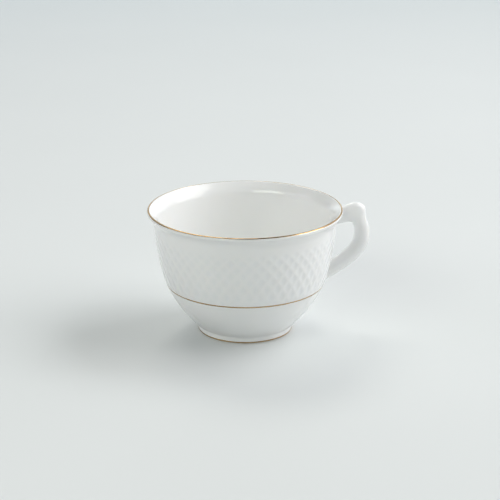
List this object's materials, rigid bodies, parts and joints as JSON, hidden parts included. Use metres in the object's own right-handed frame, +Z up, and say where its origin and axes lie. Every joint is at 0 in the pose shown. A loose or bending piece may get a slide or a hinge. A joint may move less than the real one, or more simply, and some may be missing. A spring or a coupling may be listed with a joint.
{
  "type": "teacup",
  "caption": "Porcelain teacup: flared round bowl on a low foot ring, moulded lattice band, gilded lip, waist and foot lines, ear handle with a thumb spur.",
  "frame": {"origin": "centre of the foot ring, on the surface the cup stands on", "axes": "+Z up along the bowl's axis, +X from the bowl's axis towards the handle, +Y completes a right-handed frame"},
  "size_m": [0.1115, 0.0966, 0.0625],
  "materials": {
    "glazed_porcelain": "clear gloss glaze over white porcelain",
    "foot_porcelain": "white porcelain, glazed on its sides and bare and polished where it stands",
    "gilding": "thin burnished gold line, painted by hand"
  },
  "bodies": {
    "root": {"bowl": "glazed_porcelain", "foot_ring": "foot_porcelain", "handle": "glazed_porcelain", "upper_slip_joint": "glazed_porcelain", "lower_slip_joint": "glazed_porcelain", "rim_gilding": "gilding", "waist_gilding": "gilding", "foot_gilding": "gilding"}
  },
  "joints": []
}
